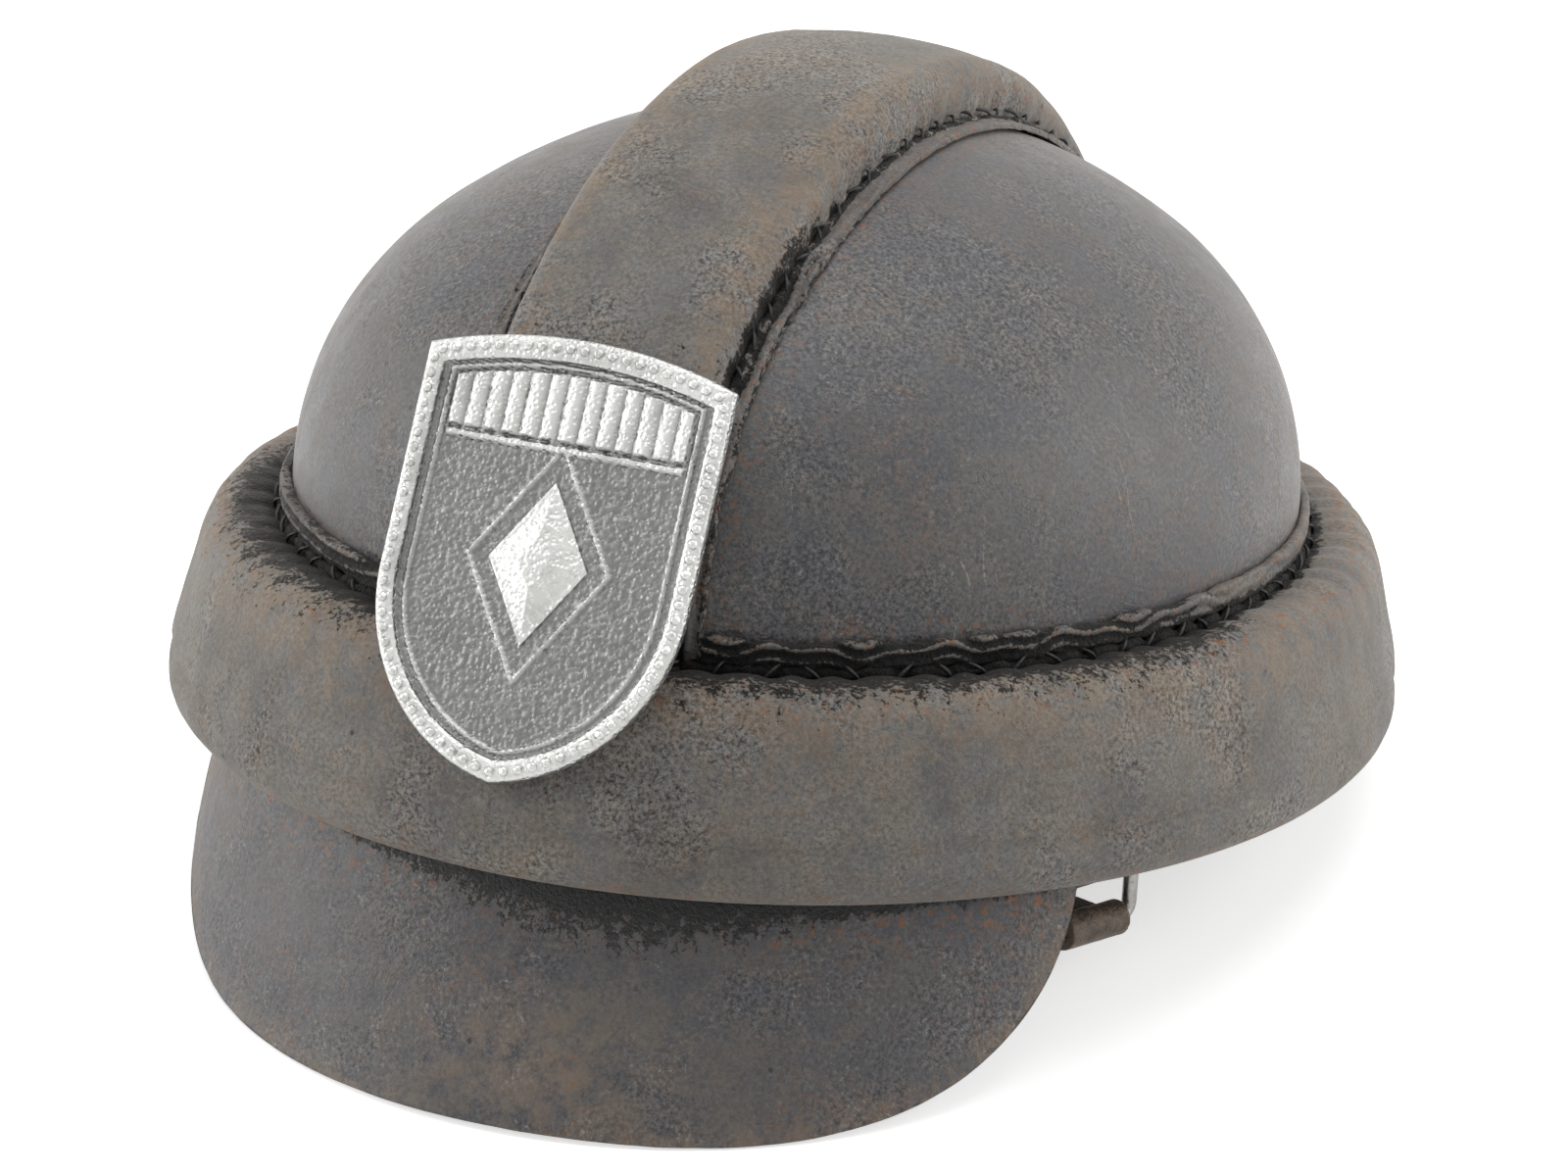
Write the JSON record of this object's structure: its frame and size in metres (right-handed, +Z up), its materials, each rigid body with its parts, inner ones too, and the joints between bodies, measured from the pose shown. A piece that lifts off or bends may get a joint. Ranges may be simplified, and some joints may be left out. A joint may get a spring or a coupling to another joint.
{
  "type": "leather motorcycle helmet",
  "caption": "Hardened leather crash helmet with padded crest, padded ring, flared visor, leather sling liner and buckled chin strap, standing on its visor edge.",
  "frame": {"origin": "bottom centre of the box round the helmet as it stands on a table, on its visor's edge and the rear of its padded ring", "axes": "+Z up from the table, -Y out of the helmet's front, +X to the wearer's left; the shell's own upright leans back by the table tilt of about 10 degrees"},
  "size_m": [0.262, 0.3092, 0.1719],
  "materials": {
    "dome_leather": "hardened smooth leather, charcoal, worn satin",
    "visor_leather": "hardened smooth leather, charcoal, speckled, raw edge",
    "cover_leather": "soft leather, olive brown over grey, matt, mottled",
    "welt_leather": "thin leather strip, waxed, satin",
    "felt": "pressed wool felt",
    "liner_leather": "tan lining leather, worn",
    "strap_leather": "strap leather, brown grey, waxed",
    "steel": "dull nickelled steel",
    "rivet_steel": "blackened steel",
    "cast_zinc": "cast zinc alloy, grainy, bright on raised edges"
  },
  "bodies": {
    "helmet": {"dome_shell": "dome_leather", "crest_cover": "cover_leather", "crest_core": "felt", "crest_welt_left": "welt_leather", "band_welt_left": "welt_leather", "crest_welt_right": "welt_leather", "band_welt_right": "welt_leather", "band_cover": "cover_leather", "band_core": "felt", "visor": "visor_leather", "rim_binding": "welt_leather", "sweatband": "liner_leather", "front_pad": "felt", "rear_pad": "felt", "left_pad": "felt", "right_pad": "felt", "liner_tongue_1": "liner_leather", "liner_tongue_2": "liner_leather", "liner_tongue_3": "liner_leather", "liner_tongue_4": "liner_leather", "liner_tongue_5": "liner_leather", "liner_tongue_6": "liner_leather", "liner_tongue_7": "liner_leather", "liner_tongue_8": "liner_leather", "liner_disc": "liner_leather", "crown_pad": "felt", "anchor_rivets": "rivet_steel", "left_strap_loop": "strap_leather", "right_strap_loop": "strap_leather", "badge_plate": "cast_zinc", "badge_studs": "cast_zinc", "badge_washers": "steel", "badge_nuts": "steel"},
    "left_ring_body": {"left_ring": "steel"},
    "left_strap_body": {"left_strap": "strap_leather"},
    "right_ring_body": {"right_ring": "steel"},
    "right_strap_body": {"right_strap": "strap_leather"},
    "keeper_body": {"strap_keeper": "strap_leather"},
    "buckle_body": {"buckle_frame": "steel"},
    "prong_body": {"buckle_prong": "steel"},
    "roller_body": {"buckle_roller": "steel"}
  },
  "joints": [
    {"name": "left_ring_swing", "type": "hinge", "parent": "helmet", "child": "left_ring_body", "pos_m": [0.09087, -0.04091, 0.02367], "axis": [-0.3463, -0.9239, 0.1631], "range_deg": [-10, 60]},
    {"name": "left_strap_swing", "type": "hinge", "parent": "left_ring_body", "child": "left_strap_body", "pos_m": [0.09087, -0.04317, 0.01087], "axis": [-0.3463, -0.9239, 0.1631], "range_deg": [0, 150]},
    {"name": "right_ring_swing", "type": "hinge", "parent": "helmet", "child": "right_ring_body", "pos_m": [-0.09087, -0.04091, 0.02367], "axis": [-0.3463, 0.9239, -0.1631], "range_deg": [-10, 60]},
    {"name": "right_strap_swing", "type": "hinge", "parent": "right_ring_body", "child": "right_strap_body", "pos_m": [-0.09087, -0.04317, 0.01087], "axis": [-0.3463, 0.9239, -0.1631], "range_deg": [0, 150]},
    {"name": "keeper_slide", "type": "slide", "parent": "right_strap_body", "child": "keeper_body", "axis": [0.936, 0.3285, -0.1263], "range_m": [-0.007, 0.009]},
    {"name": "buckle_swing", "type": "hinge", "parent": "right_strap_body", "child": "buckle_body", "pos_m": [-0.05343, -0.03003, 0.00582], "axis": [0.3463, -0.9239, 0.1631], "range_deg": [-45, 45]},
    {"name": "prong_swing", "type": "hinge", "parent": "buckle_body", "child": "prong_body", "pos_m": [-0.05343, -0.03003, 0.00582], "axis": [0.3463, -0.9239, 0.1631], "range_deg": [0, 70]},
    {"name": "roller_spin", "type": "hinge", "parent": "buckle_body", "child": "roller_body", "pos_m": [-0.03658, -0.02412, 0.00355], "axis": [0.3463, -0.9239, 0.1631], "continuous": true}
  ]
}
